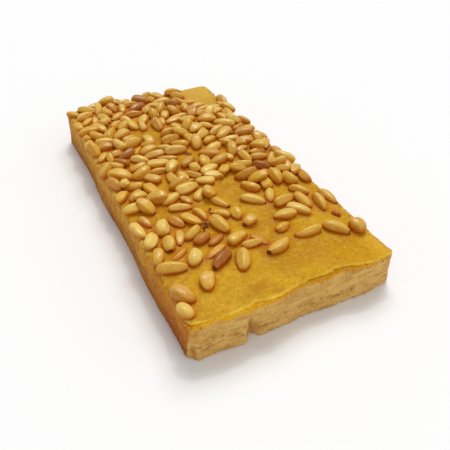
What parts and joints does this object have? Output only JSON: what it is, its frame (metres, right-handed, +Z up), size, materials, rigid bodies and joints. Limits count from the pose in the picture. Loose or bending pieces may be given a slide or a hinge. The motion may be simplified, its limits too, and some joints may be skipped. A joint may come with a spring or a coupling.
{
  "type": "pine nut turron",
  "caption": "Cut bar of baked almond paste turron with a glazed golden top, crowded with whole toasted pine nuts that leave a bare strip at the cut front end.",
  "frame": {"origin": "on the surface the bar rests on, under the centre of its bounding box", "axes": "+Z up; +Y along the bar from its cut front end, where the glaze is bare, to its back end; +X across the bar, to the right when seen from the front end"},
  "size_m": [0.0934, 0.1838, 0.0247],
  "materials": {
    "almond_paste": null
  },
  "bodies": {
    "root": {"turron": "almond_paste"}
  },
  "joints": []
}
